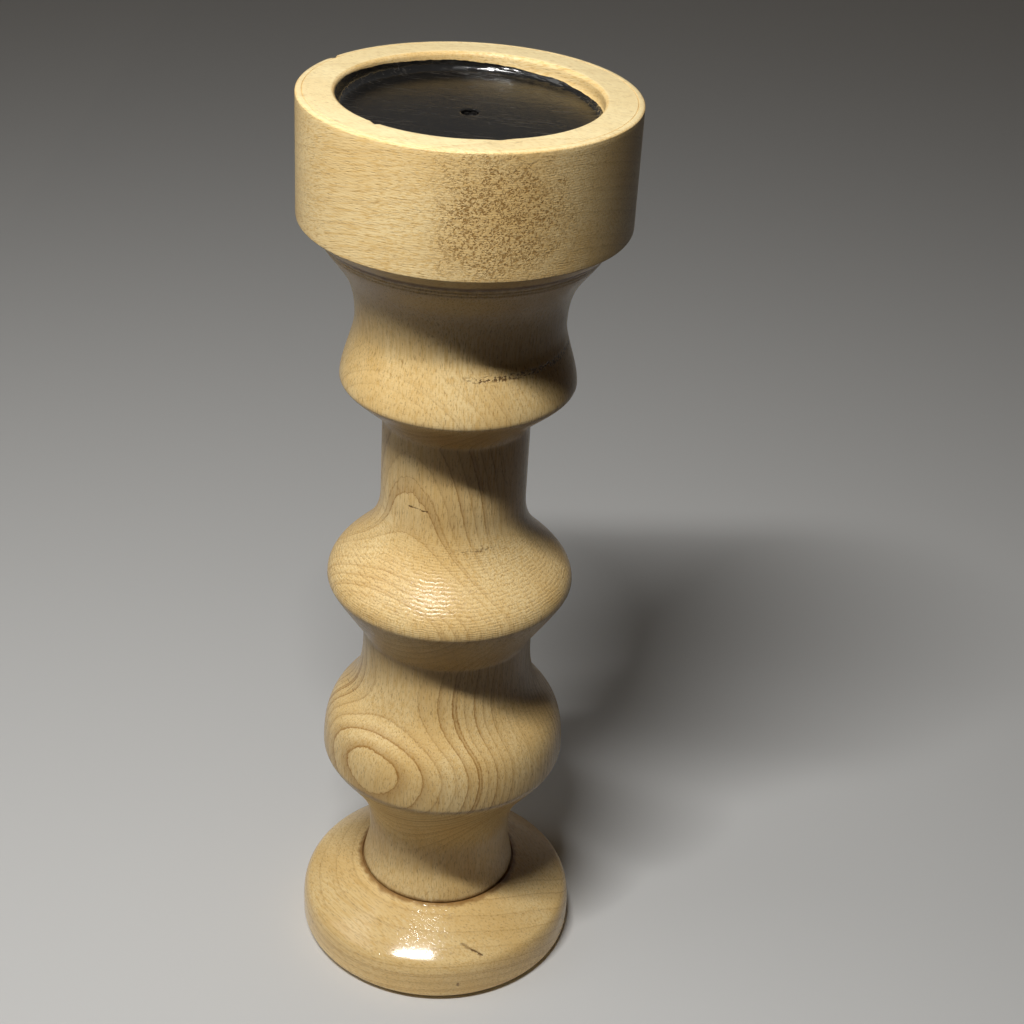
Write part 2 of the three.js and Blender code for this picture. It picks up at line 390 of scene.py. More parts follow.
# colours of lacquered beech, shared by the three turned pieces
beechColours = {
    # a paler, less yellow colour for faces that point up: a painted highlight on the rim
    "paintedTopHighlight": (0.8, 0.71, 0.43, 1.0),
    "pale": (0.87, 0.68, 0.355, 1.0),
    "deep": (0.69, 0.445, 0.155, 1.0),
    "ring": (0.36, 0.185, 0.045, 1.0),
    "torn": (0.34, 0.195, 0.06, 1.0),
    "pore": (0.26, 0.125, 0.033, 1.0),
    "check": (0.11, 0.05, 0.015, 1.0),
}
# how deep each mark is, in shares of a piece's relief
beechDepths = {"pores": -0.5, "torn": -0.8, "ridges": -0.5, "marks": -2.5}
# how dark the corner marks are: joint dirt, and also painted shade in the crease at the foot and under the
# cup
stainAndShadeDark = 0.85


# a mapping that turns millimetres into the grain's own directions
def grainPlace(tree, millimetres, look):
    along = Vector(look["grain"]).normalized()
    rings = Vector(look["rings"])
    rings = (rings - along * rings.dot(along)).normalized()
    turn = tree.nodes.new("ShaderNodeMapping")
    tree.links.new(millimetres, turn.inputs["Vector"])
    turn.inputs["Rotation"].default_value = Matrix((along, rings, along.cross(rings))).to_euler()
    turn.inputs["Location"].default_value = look["shift"]
    return turn.outputs[0], tuple(along), tuple(rings)


def checkMask(tree, millimetres, look):
    marks = 0.0
    for start, end, width, strength in look["checks"]:
        mask = placeGroup(tree, woodCheck, Place=millimetres, From=start, To=end, Width=width)["Mask"]
        marks = mathNode(tree, "MAXIMUM", marks, mathNode(tree, "MULTIPLY", mask, strength))
    return marks


# the torn lines that run part of the way round one piece
def tornMask(tree, millimetres, look):
    marks = 0.0
    for height, width, azimuth, reach, strength in look["torn"]:
        angle = math.radians(azimuth)
        mask = placeGroup(
            tree, tornRing, Place=millimetres, Height=height, Width=width,
            Facing=(math.sin(angle), -math.cos(angle), 0.0), Reach=math.cos(math.radians(reach)),
        )["Mask"]
        marks = mathNode(tree, "MAXIMUM", marks, mathNode(tree, "MULTIPLY", mask, strength))
    return marks


# the stains and painted shade in the corners of one piece
def stainAndShadeMask(tree, millimetres, look):
    stainAndShade = 0.0
    for radius, height, reach in look["stainsAndShade"]:
        ring = placeGroup(tree, jointStainAndShade, Place=millimetres, Radius=radius, Height=height, Reach=reach)
        stainAndShade = mathNode(tree, "MAXIMUM", stainAndShade, ring["Mask"])
    return stainAndShade


# torn end grain keeps to one patch with a ragged edge
def tornZone(tree, millimetres, endGrain, look):
    centre, reach = look["tornPatch"]
    fromPatch = vectorNode(tree, "DIVIDE", vectorNode(tree, "SUBTRACT", millimetres, centre), reach)
    ragged = noiseNode(tree, millimetres, 0.22, 4.0, 0.6)
    fromPatch = swingNode(tree, ragged, 1.7, vectorNode(tree, "LENGTH", fromPatch))
    patch = spanNode(tree, fromPatch, 1.3, 0.5, look["tornLeast"], 1.0)
    return mathNode(tree, "MULTIPLY", endGrain, patch)


# the tool's marks are strongest round one height
def toolZone(tree, height, look):
    fromMiddle = mathNode(tree, "ABSOLUTE", mathNode(tree, "SUBTRACT", height, look["toolHeight"]))
    return spanNode(tree, fromMiddle, look["toolReach"], 0.0, look["toolLeast"], look["toolMost"])


# the rings change with height, and they are faint where the cut runs across them
def ringZone(tree, height, ringFacing, look):
    stops = [(level / rimHeight, strength) for level, strength in look["ringsByHeight"]]
    byHeight = rampNode(tree, mathNode(tree, "DIVIDE", height, rimHeight), stops)
    flatCut = spanNode(tree, mathNode(tree, "ABSOLUTE", ringFacing), 0.15, 0.6, look["ringSide"], 1.0)
    return mathNode(tree, "MULTIPLY", byHeight, flatCut)


# every mask that one piece's colour and relief are laid on by
def beechMasks(tree, look):
    millimetres, normal = piecePlace(tree)
    height = partsNode(tree, millimetres)[2]
    place, along, across = grainPlace(tree, millimetres, look)
    ringFacing = vectorNode(tree, "DOT_PRODUCT", normal, across)
    slant = mathNode(tree, "SUBTRACT", 1.0, mathNode(tree, "POWER", ringFacing, 2.0))
    grain = placeGroup(
        tree, beechGrain, Place=place, Slant=mathNode(tree, "SQRT", slant), Spacing=look["spacing"],
        Start=look["start"], Bow=look["bow"], Pith=look["pith"], Seed=look["seed"],
        PoreStretch=look["poreStretch"], TornStretch=look["tornStretch"],
    )
    turned = placeGroup(tree, turningMarks, Place=millimetres, Spacing=look["toolSpacing"])
    endFacing = mathNode(tree, "ABSOLUTE", vectorNode(tree, "DOT_PRODUCT", normal, along))
    endGrain = spanNode(tree, endFacing, *look["endFrom"])
    rough = tornZone(tree, millimetres, endGrain, look)
    tool = toolZone(tree, height, look)
    ringed = ringZone(tree, height, ringFacing, look)
    checks = checkMask(tree, millimetres, look)
    return {
        "tone": grain["Tone"],
        "fibres": grain["Fibres"],
        "top": spanNode(tree, partsNode(tree, normal)[2], 0.85, 0.99),
        "endGrain": endGrain,
        "rough": rough,
        "late": mathNode(tree, "MULTIPLY", grain["Late"], ringed),
        "rings": mathNode(tree, "MULTIPLY", grain["Rings"], ringed),
        "pores": grain["Pores"],
        "torn": mathNode(tree, "MULTIPLY", grain["Torn"], rough),
        "dashes": mathNode(tree, "MULTIPLY", turned["Dashes"], tool),
        "ridges": mathNode(tree, "MULTIPLY", turned["Ridges"], tool),
        "stainAndShade": stainAndShadeMask(tree, millimetres, look),
        "marks": mathNode(tree, "MAXIMUM", checks, tornMask(tree, millimetres, look)),
    }


# colour, laid on from the palest to the darkest
def beechColour(tree, masks, look):
    tone = spanNode(tree, masks["tone"], 0.3, 0.7, *look["tone"])
    colour = mixNode(tree, tone, beechColours["pale"], beechColours["deep"])
    fibres = spanNode(tree, masks["fibres"], 0.42, 0.68, 0.0, 0.85)
    colour = mixNode(tree, fibres, colour, beechColours["deep"])
    layers = (
        # faces that point up take the painted highlight colour
        ("top", look["paintedTopHighlight"], "paintedTopHighlight"),
        ("endGrain", look["endDark"], "ring"),
        ("rough", 0.3 * look["tornDark"], "deep"),
        ("late", look["lateDark"], "ring"),
        ("rings", look["ringDark"], "ring"),
        ("pores", look["poreDark"], "pore"),
        ("torn", look["tornDark"], "torn"),
        ("dashes", look["dashDark"], "pore"),
        # joint stain with painted shade in the corners
        ("stainAndShade", stainAndShadeDark, "pore"),
        ("marks", 1.0, "check"),
    )
    for mask, amount, tint in layers:
        strength = mathNode(tree, "MULTIPLY", masks[mask], amount)
        colour = mixNode(tree, strength, colour, beechColours[tint])
    return colour


# lacquered beech for one piece, with that piece's own grain, marks and gloss
def beechMaterial(name, look):
    material, tree, shader = newMaterial(name)
    masks = beechMasks(tree, look)
    tree.links.new(beechColour(tree, masks, look), shader.inputs["Base Color"])
    height = 0.0
    for mask, depth in beechDepths.items():
        height = mathNode(tree, "MULTIPLY_ADD", masks[mask], depth, height)
    addRelief(tree, shader, height, 0.6, look["relief"])
    dull = mathNode(tree, "MULTIPLY_ADD", masks["torn"], 0.15, look["roughness"])
    dull = mathNode(tree, "MULTIPLY_ADD", masks["fibres"], look["uneven"], dull)
    tree.links.new(dull, shader.inputs["Roughness"])
    shader.inputs["Specular IOR Level"].default_value = look["gloss"]
    return material


roundShare = 0.5523  # handle of a curve that makes a quarter circle


# a turned profile of radius and height in millimetres, followed as the tool would
class Outline:
    def __init__(self, radius, height):
        self.points = [Vector((radius, 0.0, height))]

    def line(self, radius, height, cuts=1):
        start = self.points[-1]
        end = Vector((radius, 0.0, height))
        self.points += [start.lerp(end, cut / cuts) for cut in range(1, cuts + 1)]

    def lines(self, *ends):
        for radius, height in ends:
            self.line(radius, height)

    def bow(self, leave, arrive, end, cuts):
        knots = [Vector((radius, 0.0, height)) for radius, height in (leave, arrive, end)]
        self.points += interpolate_bezier(self.points[-1], *knots, cuts + 1)[1:]

    # a run to a new radius that starts and ends upright
    def swell(self, radius, rise, leaveShare, arriveShare, cuts):
        x, _, z = self.points[-1]
        arrive = z + (1 - arriveShare) * rise
        self.bow((x, z + leaveShare * rise), (radius, arrive), (radius, z + rise), cuts)

    # a quarter turn, upright at its start or at its end
    def quarter(self, radius, height, leavesUpright, cuts):
        x, _, z = self.points[-1]
        dx, dz = (radius - x) * roundShare, (height - z) * roundShare
        if leavesUpright:
            self.bow((x, z + dz), (radius - dx, height), (radius, height), cuts)
        else:
            self.bow((x + dx, z), (radius, height - dz), (radius, height), cuts)

    # a fine cut of this depth on the way to a point, at this share of the way
    def scored(self, radius, height, shares, width, depth, cuts=4):
        start = self.points[-1].copy()
        run = Vector((radius, 0.0, height)) - start
        inward = Vector((-run.z, 0.0, run.x)).normalized() * depth
        for share in shares:
            half = width / 2 / run.length
            self.line(*(start + run * (share - half)).xz, cuts)
            self.line(*(start + run * share + inward).xz)
            self.line(*(start + run * (share + half)).xz)
        self.line(radius, height, cuts)


def turnOutline(outline, steps):
    bm = bmesh.new()
    verts = [bm.verts.new(point * mm) for point in outline.points]
    edges = [bm.edges.new(pair) for pair in zip(verts, verts[1:])]
    bmesh.ops.spin(
        bm, geom=verts + edges, cent=(0, 0, 0), axis=(0, 0, 1), angle=2 * math.pi, steps=steps,
        use_merge=True,
    )
    bmesh.ops.remove_doubles(bm, verts=bm.verts, dist=0.002 * mm)
    bmesh.ops.recalc_face_normals(bm, faces=bm.faces)
    return bm


# a chip or knock: vertices round a place are pushed away, unevenly
def knock(bm, place, reach, push):
    centre = Vector(place) * mm
    for vert in bm.verts:
        share = (vert.co - centre).length / (reach * mm)
        if share < 1:
            uneven = 1 + 0.5 * noise.noise(vert.co * 900)
            vert.co += Vector(push) * mm * (1 - share * share) ** 2 * uneven


def addPiece(name, bm, material, nodes=(), sharpAngle=32):
    mesh = bpy.data.meshes.new(name)
    bm.to_mesh(mesh)
    bm.free()
    mesh.shade_smooth()
    mesh.set_sharp_from_angle(angle=math.radians(sharpAngle))
    mesh.materials.append(material)
    piece = bpy.data.objects.new(name, mesh)
    scene.collection.objects.link(piece)
    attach(piece, "root")
    if nodes:
        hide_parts(*nodes)
    print(name, "made with", len(mesh.polygons), "faces")
    return piece


# joints shared by the three turned pieces
joint = {
    "tenon": 13.0,
    "chamfer": 1.0,
    "gap": 0.3,
    "hole": 1.8,
    "well": 3.3,
    "wellDepth": 4.2,
    "steps": 240,
}

# foot: a cross-grain disc with a domed top
foot = {
    "edgeInset": 7.0,
    "edgeRise": 3.2,
    "sideTop": 7.6,
    "shoulderInset": 2.8,
    "shoulderTop": 15.7,
    "shoulderBow": 0.6,
    "slopeOutside": 0.69,
    "reachOutside": 0.2,
    "reachInside": 0.5,
    "slopeInside": 0.5,
    "creaseRadius": 26.75,
    "creaseLip": 0.35,
    "creaseDepth": 0.6,
    "socketFloor": 11.7,
}
footLook = {
    "paintedTopHighlight": 0.0,
    "tone": (0.25, 0.7),
    "gloss": 0.5,
    "uneven": 0.04,
    "grain": (0.656, -0.755, 0.0),
    "rings": (0.19, 0.165, 1.0),
    "shift": (0.0, 0.0, 0.0),
    "spacing": 3.2,
    "start": 1.0,
    "bow": 0.0006,
    "pith": 120.0,
    "seed": 31.0,
    "poreStretch": (0.35, 3.0, 1.3),
    "tornStretch": (0.7, 1.2, 1.2),
    "ringsByHeight": [(0.0, 1.0), (30.0, 1.0)],
    "ringSide": 1.0,
    "toolSpacing": 0.8,
    "toolHeight": 24.0,
    "toolReach": 14.0,
    "toolLeast": 0.0,
    "toolMost": 0.0,
    "endFrom": (0.55, 1.0),
    "endDark": 0.15,
    "lateDark": 0.14,
    "ringDark": 0.4,
    "poreDark": 0.4,
    "tornPatch": ((30.0, -34.0, 12.0), (16.0, 16.0, 16.0)),
    "tornLeast": 0.0,
    "tornDark": 0.25,
    "dashDark": 0.5,
    "relief": 0.06,
    "roughness": 0.1,
    "checks": [
        ((9.7, -39.1, 18.6), (16.8, -41.3, 15.95), 0.75, 0.5),
        ((12.9, -40.2, 17.4), (16.8, -41.3, 15.95), 0.42, 0.9),
        ((8.9, -46.9, 7.8), (8.9, -47.4, 6.2), 0.6, 0.7),
    ],
    "torn": [],
    # dark crease round the stem's seat: stain and painted shade
    "stainsAndShade": [(26.7, 25.2, 2.4)],
}


def makeFoot(size):
    seat = footTop - size["creaseDepth"]
    shoulder = footRadius - size["shoulderInset"]
    lip = size["creaseRadius"] + size["creaseLip"]
    bow = size["shoulderBow"]
    reach = bow * size["shoulderInset"]
    outside = (shoulder - lip) * size["reachOutside"]
    inside = (shoulder - lip) * size["reachInside"]
    socket = joint["tenon"] + joint["gap"]
    outline = Outline(joint["well"], 0.0)
    outline.line(footRadius - size["edgeInset"], 0.0)
    outline.quarter(footRadius, size["edgeRise"], False, 12)
    outline.line(footRadius, size["sideTop"], 6)
    outline.bow(
        (footRadius, size["sideTop"] + bow * (size["shoulderTop"] - size["sideTop"])),
        (shoulder + reach, size["shoulderTop"] - reach * size["slopeOutside"]),
        (shoulder, size["shoulderTop"]), 12,
    )
    outline.bow(
        (shoulder - outside, size["shoulderTop"] + outside * size["slopeOutside"]),
        (lip + inside, footTop - inside * size["slopeInside"]),
        (lip, footTop), 40,
    )
    outline.quarter(size["creaseRadius"], seat, False, 6)
    outline.lines(
        (socket, seat), (socket, size["socketFloor"]), (joint["hole"], size["socketFloor"]),
        (joint["hole"], joint["wellDepth"]), (joint["well"], joint["wellDepth"]), (joint["well"], 0.0),
    )
    bm = turnOutline(outline, joint["steps"])
    return addPiece("foot_turned", bm, beechMaterial("beechFoot", footLook), ["foot"])


makeFoot(foot)

# stem: a long-grain spindle, from its seat on the foot to the lip under the cup
stem = {
    "base": 26.4,
    "baseEase": 0.6,
    "hollowShare": 0.6,
    "lip": 43.8,
    "lipSlope": 65,
    "lipReach": 10.0,
    "lipScores": (262.2, 261.0),
    "scoreDepth": 0.2,
    "pilotFoot": 49.5,
    "pilotCup": 250.9,
}
# each run's radius at its end, its rise, and how far it stays upright at its two ends
stemRuns = {
    "flare": (24.4, 13.1, 0.2, 0.45),
    "lowNeck": (24.4, 4.5, 0.3, 0.3),
    "lowUnderside": (40.7, 34.9, 0.5, 0.15),
    "lowBead": (27.8, 42.1, 0.58, 0.66),
    "groove": (27.8, 3.9, 0.3, 0.3),
    "middleUnderside": (39.8, 20.7, 0.1, 0.11),
    "middleBead": (23.1, 30.5, 0.31, 0.58),
    "upperNeck": (23.1, 26.6, 0.3, 0.3),
    "topUnderside": (36.4, 14.5, 0.24, 0.13),
    "topBead": (32.0, 19.7, 0.25, 0.28),
}
stemLook = {
    "paintedTopHighlight": 0.0,
    "tone": (0.15, 0.65),
    "gloss": 0.28,
    "uneven": 0.1,
    "grain": (0.0, 0.0, 1.0),
    "rings": (-0.588, -0.809, 0.0),
    "shift": (-145.0, 0.0, 0.0),
    "spacing": 2.45,
    "start": 0.55,
    "bow": 0.0019,
    "pith": 150.0,
    "seed": 1520.0,
    "poreStretch": (0.45, 2.6, 2.6),
    "tornStretch": (0.8, 1.3, 1.3),
    "ringsByHeight": [(40.0, 0.0), (66.0, 0.9), (108.0, 1.0), (128.0, 0.4), (165.0, 0.4),
                      (178.0, 0.8), (200.0, 0.7), (215.0, 0.3), (244.0, 0.0)],
    "ringSide": 0.25,
    "toolSpacing": 0.64,
    "toolHeight": 150.0,
    "toolReach": 32.0,
    "toolLeast": 0.2,
    "toolMost": 1.0,
    "endFrom": (0.6, 1.0),
    "endDark": 0.1,
    "lateDark": 0.65,
    "ringDark": 0.95,
    "poreDark": 0.5,
    "tornPatch": ((0.0, 0.0, 262.0), (42.0, 42.0, 6.0)),
    "tornLeast": 0.0,
    "tornDark": 0.75,
    "dashDark": 0.45,
    "relief": 0.1,
    "roughness": 0.18,
    "checks": [
        ((-13.3, -18.9, 180.0), (-7.8, -21.7, 179.6), 0.46, 0.9),
        ((-32.7, -0.5, 99.9), (-30.1, -9.5, 101.6), 0.3, 0.5),
        ((-29.7, -6.9, 103.8), (-32.7, -5.9, 99.2), 0.3, 0.5),
    ],
    "torn": [(230.7, 1.3, 48.0, 48.0, 0.85), (167.2, 0.9, 20.0, 24.0, 0.6), (163.5, 0.7, 20.0, 12.0, 0.5)],
    # dark crease at the foot and dark band under the cup: stain and painted shade
    "stainsAndShade": [(26.6, 25.2, 1.8), (43.8, 264.0, 2.0)],
}


def makeStem(size):
    seat = footTop - foot["creaseDepth"]
    tenon, chamfer, hole = joint["tenon"], joint["chamfer"], joint["hole"]
    outline = Outline(0.0, size["pilotFoot"])
    outline.lines(
        (hole, size["pilotFoot"]), (hole, stemBottom), (tenon - chamfer, stemBottom),
        (tenon, stemBottom + chamfer), (tenon, seat), (size["base"] - size["baseEase"], seat),
        (size["base"], seat + size["baseEase"]),
    )
    for radius, rise, leaveShare, arriveShare in stemRuns.values():
        outline.swell(radius, rise, leaveShare, arriveShare, max(4, round(rise * 0.8)))
    # the hollow leaves the top bead upright and flares out under the cup, with two fine scores near its end
    hollow, _, low = outline.points[-1]
    slope = math.radians(size["lipSlope"])
    outline.bow(
        (hollow, low + size["hollowShare"] * (cupSeat - low)),
        (size["lip"] - size["lipReach"] * math.cos(slope), cupSeat - size["lipReach"] * math.sin(slope)),
        (size["lip"], cupSeat), 56,
    )
    for score in size["lipScores"]:
        nearest = min(outline.points, key=lambda point: abs(point.z - score))
        nearest.x -= size["scoreDepth"]
    outline.lines(
        (tenon, cupSeat), (tenon, stemTop - chamfer), (tenon - chamfer, stemTop), (hole, stemTop),
        (hole, size["pilotCup"]), (0.0, size["pilotCup"]),
    )
    bm = turnOutline(outline, joint["steps"])
    return addPiece("stem_turned", bm, beechMaterial("beechStem", stemLook), ["stem"])


makeStem(stem)

# cup: a cross-grain disc with the candle's recess
cup = {
    "seatMargin": 0.4,
    "underRise": 3.9,
    "edge": 0.8,
    "rimEaseWidth": 1.6,
    "rimEaseDrop": 0.6,
    "mouthEdge": 1.4,
    "recess": 38.2,
    "depth": 6.0,
    "fillet": 3.0,
    "socketTop": 278.8,
    # chips in the rim: place, reach and push
    "chips": [
        ((8.8, -40.6), 5.0, (0.0, 0.0, -0.4)),  # flaked scar at the front of the mouth
        ((-25.6, -29.8), 2.0, (-0.3, -0.4, -0.4)),  # notch in the mouth
        ((-41.0, 27.3), 2.2, (0.6, -0.4, -0.5)),  # nick in the outer edge
    ],
}
cupLook = {
    # how much of the painted highlight colour the rim takes
    "paintedTopHighlight": 0.5,
    "tone": (0.0, 0.5),
    "gloss": 0.3,
    "uneven": 0.1,
    "grain": (0.74, -0.67, 0.22),
    "rings": (0.247, 0.60, 1.0),
    "shift": (0.0, -240.0, 0.0),
    "spacing": 3.3,
    "start": 0.4,
    "bow": 0.0002,
    "pith": 400.0,
    "seed": 11.0,
    "poreStretch": (0.35, 3.6, 0.9),
    "tornStretch": (1.1, 1.6, 1.6),
    "ringsByHeight": [(260.0, 1.0), (300.0, 1.0)],
    "ringSide": 1.0,
    "toolSpacing": 0.7,
    "toolHeight": 285.0,
    "toolReach": 40.0,
    "toolLeast": 0.1,
    "toolMost": 0.2,
    "endFrom": (0.4, 0.62),
    "endDark": 0.06,
    "lateDark": 0.08,
    "ringDark": 0.2,
    "poreDark": 0.29,
    "tornPatch": ((9.5, -48.4, 286.0), (20.0, 20.0, 19.0)),
    "tornLeast": 0.12,
    "tornDark": 1.0,
    "dashDark": 0.3,
    "relief": 0.2,
    "roughness": 0.26,
    "checks": [
        ((4.0, -40.4, rimHeight), (8.3, -43.4, rimHeight), 0.22, 0.45),
        ((8.3, -43.4, rimHeight), (14.2, -39.0, rimHeight), 0.22, 0.45),
    ],
    "torn": [],
    # dark band where the cup sits on the stem: stain and painted shade
    "stainsAndShade": [(44.2, 264.0, 1.5)],
}


def makeCup(size):
    floor = rimHeight - size["depth"]
    well, hole = joint["well"], joint["hole"]
    wellFloor = floor - joint["wellDepth"]
    socket = joint["tenon"] + joint["gap"]
    outline = Outline(hole, size["socketTop"])
    outline.lines((socket, size["socketTop"]), (socket, cupSeat))
    outline.line(stem["lip"] + size["seatMargin"], cupSeat)
    outline.line(cupRadius - size["edge"], cupSeat + size["underRise"], 6)
    outline.quarter(cupRadius, cupSeat + size["underRise"] + size["edge"], False, 8)
    outline.line(cupRadius, rimHeight - size["rimEaseDrop"], 24)
    outline.quarter(cupRadius - size["rimEaseWidth"], rimHeight, True, 8)
    outline.scored(size["recess"] + size["mouthEdge"], rimHeight, (0.04,), 0.35, 0.14, 12)
    outline.quarter(size["recess"], rimHeight - size["mouthEdge"], False, 8)
    outline.line(size["recess"], floor + size["fillet"], 4)
    outline.quarter(size["recess"] - size["fillet"], floor, True, 8)
    outline.line(well, floor, 10)
    outline.lines((well, wellFloor), (hole, wellFloor), (hole, size["socketTop"]))
    bm = turnOutline(outline, joint["steps"])
    for (x, y), reach, push in size["chips"]:
        knock(bm, (x, y, rimHeight), reach, push)
    return addPiece("cup_turned", bm, beechMaterial("beechCup", cupLook), ["cup"])


makeCup(cup)

# black paint brushed into the recess, with an uneven upper edge
coat = {
    "thickness": 0.15,
    "bury": 0.12,
    "topMiddle": 3.1,  # height above the recess floor
    "topLean": 1.7,
    "ragged": 0.13,
    "lump": 0.17,
    "floorLump": 0.12,  # share of the lumps that the floor has
    "least": 0.04,  # thinnest paint on the wall
    "wellLip": 0.45,  # how far the paint hangs in over the well
    "wellStart": 0.5,
    "wellUnder": 0.2,
    "wellRise": 0.06,
    "slantRise": 5.0,  # rise of the slant before it is laid on the wall
    "steps": 360,
}
coatColours = {
    "black": (0.006, 0.0055, 0.005, 1.0),
    "dry": (0.045, 0.04, 0.034, 1.0),
    "dust": (0.13, 0.12, 0.11, 1.0),
}


# height of the paint's upper edge at an angle from the front
def coatTop(angle):
    lean = -coat["topLean"] * math.sin(angle)
    heading = Vector((math.cos(angle), math.sin(angle), 0.3))
    slow = noise.noise(heading * 4)
    quick = noise.noise(heading * 14) + noise.noise(heading * 45)
    return coat["topMiddle"] + lean + 0.4 * slow + coat["ragged"] * quick


def coatMaterial():
    material, tree, shader = newMaterial("recessPaint")
    millimetres, normal = piecePlace(tree)
    turn = tree.nodes.new("ShaderNodeMapping")
    tree.links.new(millimetres, turn.inputs["Vector"])
    turn.inputs["Rotation"].default_value = (0.0, 0.0, math.radians(8))
    place = turn.outputs[0]
    streaks = noiseNode(tree, stretchNode(tree, place, (0.1, 1.3, 1.3)), 1.0, 4.0, 0.65)
    grain = noiseNode(tree, place, 2.0, 3.0, 0.65)
    patches = noiseNode(tree, stretchNode(tree, place, (0.05, 0.16, 0.16)), 1.0, 3.0)

    # thin streaks of grey where the brush ran dry, with specks of dust
    dry = spanNode(tree, streaks, 0.5, 0.72)
    dry = mathNode(tree, "MULTIPLY", dry, spanNode(tree, patches, 0.4, 0.65))
    colour = mixNode(tree, dry, coatColours["black"], coatColours["dry"])
    dust = spanNode(tree, noiseNode(tree, place, 1.7, 2.0), 0.68, 0.76, 0.0, 0.7)
    colour = mixNode(tree, dust, colour, coatColours["dust"])
    tree.links.new(colour, shader.inputs["Base Color"])

    # the wall is coarser and glossier than the floor, and the tool left rings round the well
    upward = partsNode(tree, normal)[2]
    wall = spanNode(tree, upward, 0.97, 0.6, 0.8, 1.4)
    height = mathNode(tree, "MULTIPLY", mathNode(tree, "MULTIPLY_ADD", streaks, 0.6, grain), wall)
    radius = vectorNode(tree, "LENGTH", flatNode(tree, millimetres))
    waves = mathNode(tree, "SINE", mathNode(tree, "MULTIPLY", radius, 6.0))
    near = spanNode(tree, radius, 8.0, 4.0, 0.0, 0.3)
    height = mathNode(tree, "MULTIPLY_ADD", waves, near, height)
    addRelief(tree, shader, height, 0.7, 0.09)
    dull = spanNode(tree, patches, 0.3, 0.7, 0.09, 0.18)
    dull = mathNode(tree, "ADD", dull, spanNode(tree, upward, 0.6, 0.97, 0.0, 0.06))
    dull = mathNode(tree, "MULTIPLY_ADD", dry, 0.25, dull)
    tree.links.new(dull, shader.inputs["Roughness"])
    tree.links.new(spanNode(tree, upward, 0.97, 0.85), shader.inputs["Coat Weight"])
    shader.inputs["Coat Roughness"].default_value = 0.04
    shader.inputs["Specular IOR Level"].default_value = 0.3
    return material


# the lip over the well is ragged, and the slant follows the fillet and the wall up to the brushed edge
def brushCoat(bm, size):
    floor = rimHeight - cup["depth"]
    fillet, recess, well = cup["fillet"], cup["recess"], joint["well"]
    skin = size["thickness"]
    for vert in bm.verts:
        radius = vert.co.xy.length / mm
        uneven = size["lump"] * (noise.noise(vert.co * 600) + 0.7 * noise.noise(vert.co * 1300))
        if radius < well - skin - 0.01:
            heading = Vector((vert.co.x / radius, vert.co.y / radius, 0.2)) / mm
            ragged = 1 + 0.8 * noise.noise(heading * 2) + 0.35 * noise.noise(heading * 6)
            vert.co.xy *= (well - skin - (well - skin - radius) * ragged) / radius
        if radius > recess - fillet + 0.01:
            angle = math.atan2(vert.co.x, -vert.co.y)
            share = min(1.0, max(0.0, (vert.co.z / mm - floor) / size["slantRise"]))
            slantRadius = recess - fillet + share * fillet
            side = -max(size["least"], skin + uneven) if radius < slantRadius else size["bury"]
            height = share * coatTop(angle)
            drop = max(0.0, fillet - height)
            wall = recess - fillet + math.sqrt(max(0.0, fillet ** 2 - drop ** 2))
            vert.co.xy *= (wall + side * share) / radius
            vert.co.z = (floor + height - side * (1 - share)) * mm
        elif radius > well + 0.5 and vert.co.z / mm > floor:
            vert.co.z += size["floorLump"] * uneven * mm


def makeCoat(size):
    floor = rimHeight - cup["depth"]
    wellFloor = floor - joint["wellDepth"]
    corner, recess, well = cup["recess"] - cup["fillet"], cup["recess"], joint["well"]
    skin, bury = size["thickness"], size["bury"]
    inner = well - skin
    lip = inner - size["wellLip"]
    top = floor + size["slantRise"]
    outline = Outline(inner, wellFloor)
    outline.line(inner, floor - size["wellStart"], 4)
    outline.line(lip, floor - size["wellUnder"], 4)
    outline.bow((lip, floor + skin), (lip, floor + skin), (well, floor + skin + size["wellRise"]), 6)
    outline.line(corner, floor + skin, 40)
    outline.line(recess - skin, top, 16)
    outline.line(recess + bury, top)
    outline.line(corner, floor - bury, 16)
    outline.line(well + bury, floor - bury, 16)
    outline.lines((well + bury, wellFloor), (inner, wellFloor))
    bm = turnOutline(outline, size["steps"])
    brushCoat(bm, size)
    return addPiece("recess_coat", bm, coatMaterial(), sharpAngle=50)


makeCoat(coat)


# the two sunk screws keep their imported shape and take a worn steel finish, with paint left in patches
screwColours = {"steel": (0.30, 0.29, 0.28, 1.0), "paint": (0.015, 0.014, 0.013, 1.0)}
screwPaint = {"cup_screw": ("paintedScrew", (0.35, 0.6)), "foot_screw": ("plainScrew", (0.6, 0.75))}


def screwMaterial(name, paint):
    material, tree, shader = newMaterial(name)
    patches = noiseNode(tree, piecePlace(tree)[0], 0.8, 4.0, 0.6)
    covered = spanNode(tree, patches, *paint)
    colour = mixNode(tree, covered, screwColours["steel"], screwColours["paint"])
    tree.links.new(colour, shader.inputs["Base Color"])
    tree.links.new(mathNode(tree, "SUBTRACT", 1.0, covered), shader.inputs["Metallic"])
    tree.links.new(spanNode(tree, patches, 0.2, 0.8, 0.26, 0.45), shader.inputs["Roughness"])
    addRelief(tree, shader, patches, 0.4, 0.05)
    return material


for node, (name, paint) in screwPaint.items():
    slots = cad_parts[node].data.materials
    slots.clear()
    slots.append(screwMaterial(name, paint))
print("screws finished")


